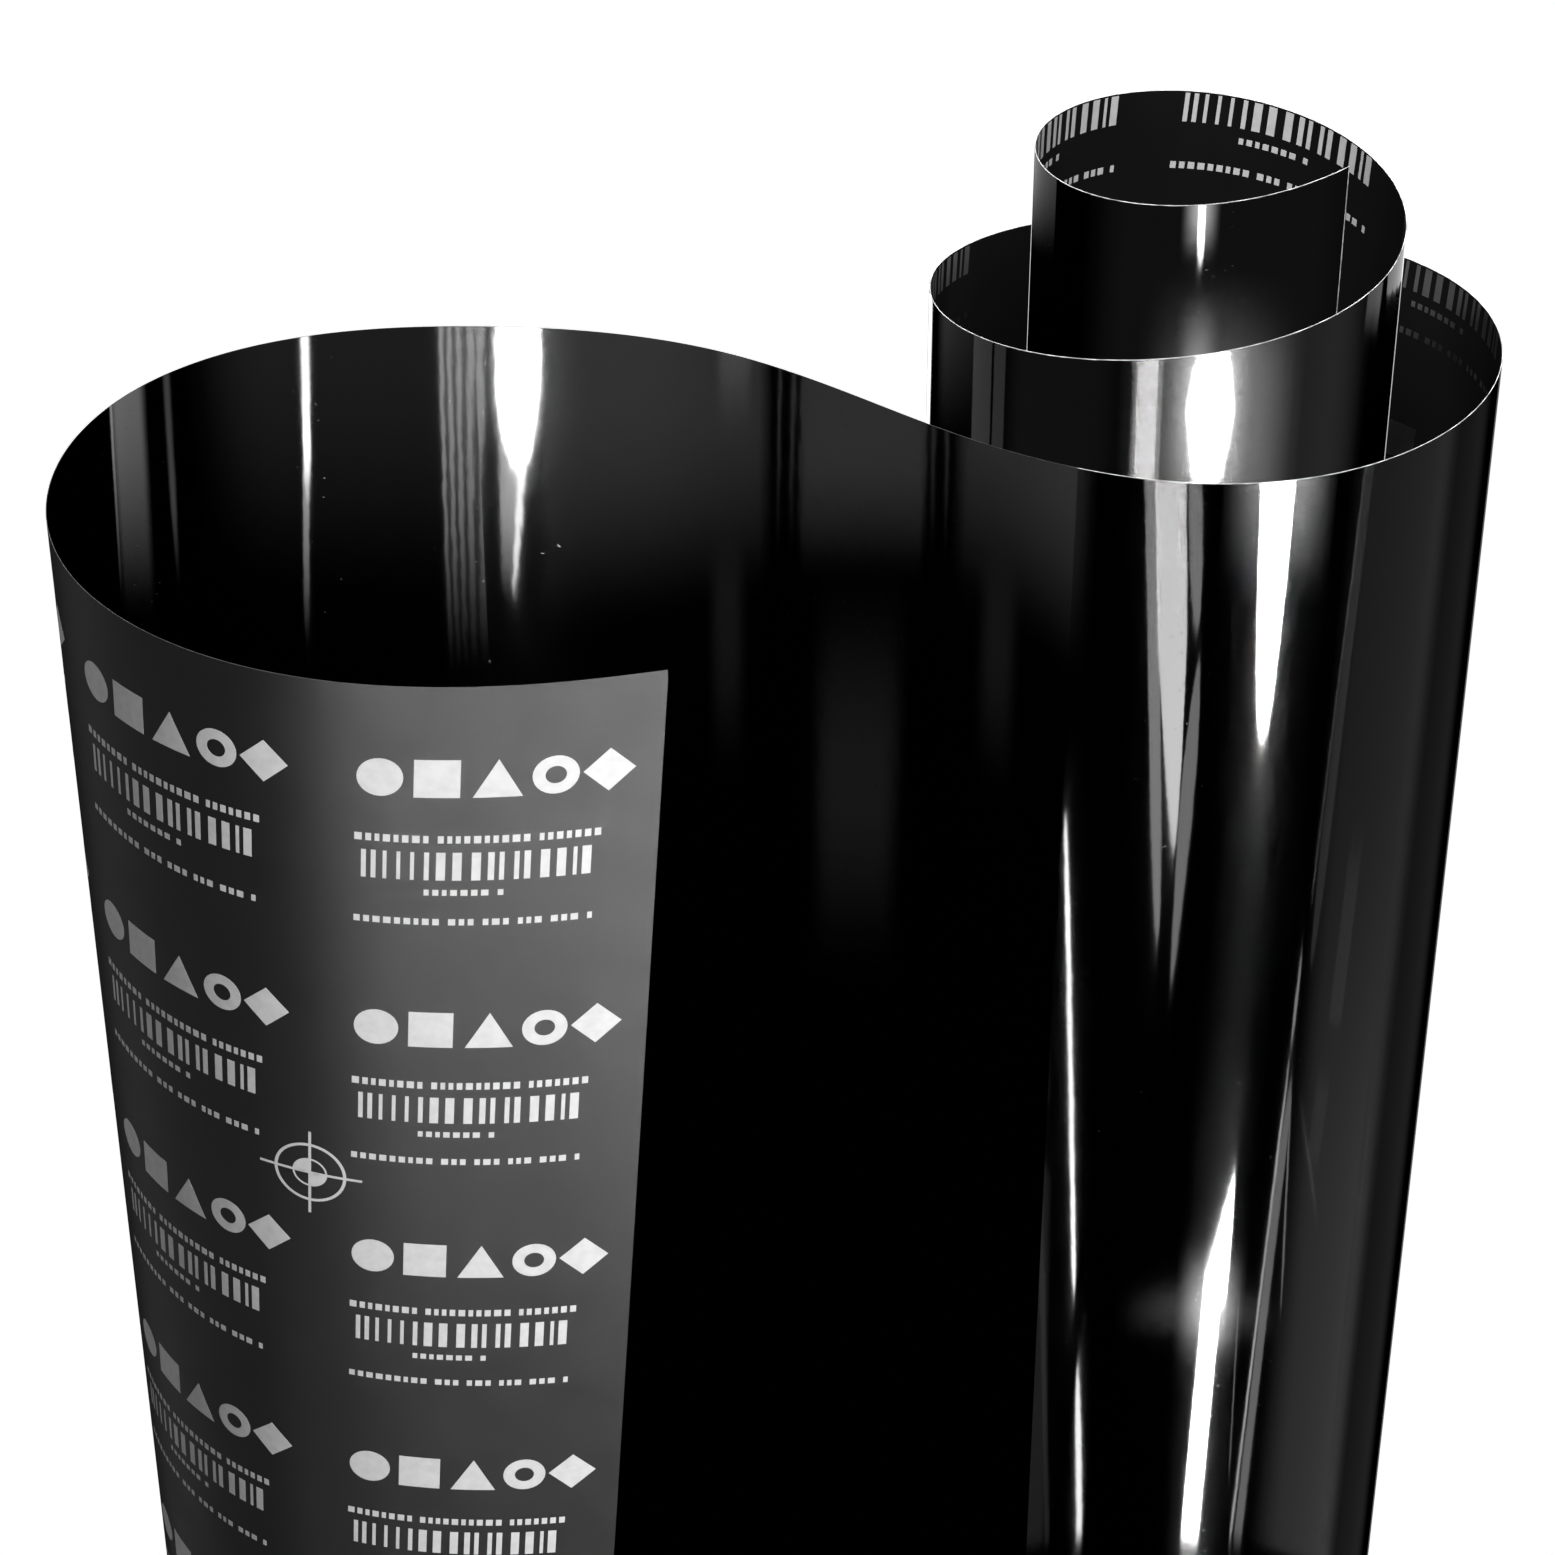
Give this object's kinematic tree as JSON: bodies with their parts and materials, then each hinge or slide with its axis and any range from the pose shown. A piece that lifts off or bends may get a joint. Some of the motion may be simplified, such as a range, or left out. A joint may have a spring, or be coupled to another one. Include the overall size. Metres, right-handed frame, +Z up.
{
  "type": "roll of sign vinyl",
  "caption": "Sheet of gloss black self-adhesive sign vinyl on a printed grey release liner, standing on its long edge: a loose coreless roll with its free end in a wide loop.",
  "frame": {"origin": "on the floor, below the middle of the whole part's box", "axes": "+Z up along the roll's winding axis, +X from the free loop to the roll, +Y from the free end towards the back"},
  "size_m": [0.4308, 0.244, 0.696],
  "materials": {
    "face_film": "high gloss black PVC film",
    "adhesive": "clear pressure-sensitive acrylic",
    "release_liner": "dark grey silicone-coated paper, satin"
  },
  "bodies": {
    "outer_turn": {"film_outer_turn": "face_film", "adhesive_outer_turn": "adhesive", "liner_outer_turn": "release_liner"},
    "loop_back": {"film_loop_back": "face_film", "adhesive_loop_back": "adhesive", "liner_loop_back": "release_liner"},
    "free_end": {"film_free_end": "face_film", "adhesive_free_end": "adhesive", "liner_free_end": "release_liner"},
    "middle_turn": {"film_middle_turn": "face_film", "adhesive_middle_turn": "adhesive", "liner_middle_turn": "release_liner"},
    "inner_turn": {"film_inner_turn": "face_film", "adhesive_inner_turn": "adhesive", "liner_inner_turn": "release_liner"}
  },
  "joints": [
    {"name": "loop_swing", "type": "hinge", "parent": "outer_turn", "child": "loop_back", "pos_m": [0.03129, 0.01556, 0.305], "axis": [0, 0, 1], "range_deg": [-12, 10]},
    {"name": "loop_open", "type": "hinge", "parent": "loop_back", "child": "free_end", "pos_m": [-0.2136, -0.00874, 0.305], "axis": [0, 0, 1], "range_deg": [-30, 12]},
    {"name": "middle_slide", "type": "slide", "parent": "outer_turn", "child": "middle_turn", "axis": [0, 0, 1], "range_m": [-0.012, 0.025]},
    {"name": "inner_slide", "type": "slide", "parent": "middle_turn", "child": "inner_turn", "axis": [0, 0, 1], "range_m": [-0.012, 0.025]}
  ],
  "couplings": [
    {"joint": "inner_slide", "follows": "middle_slide", "ratio": 1}
  ]
}
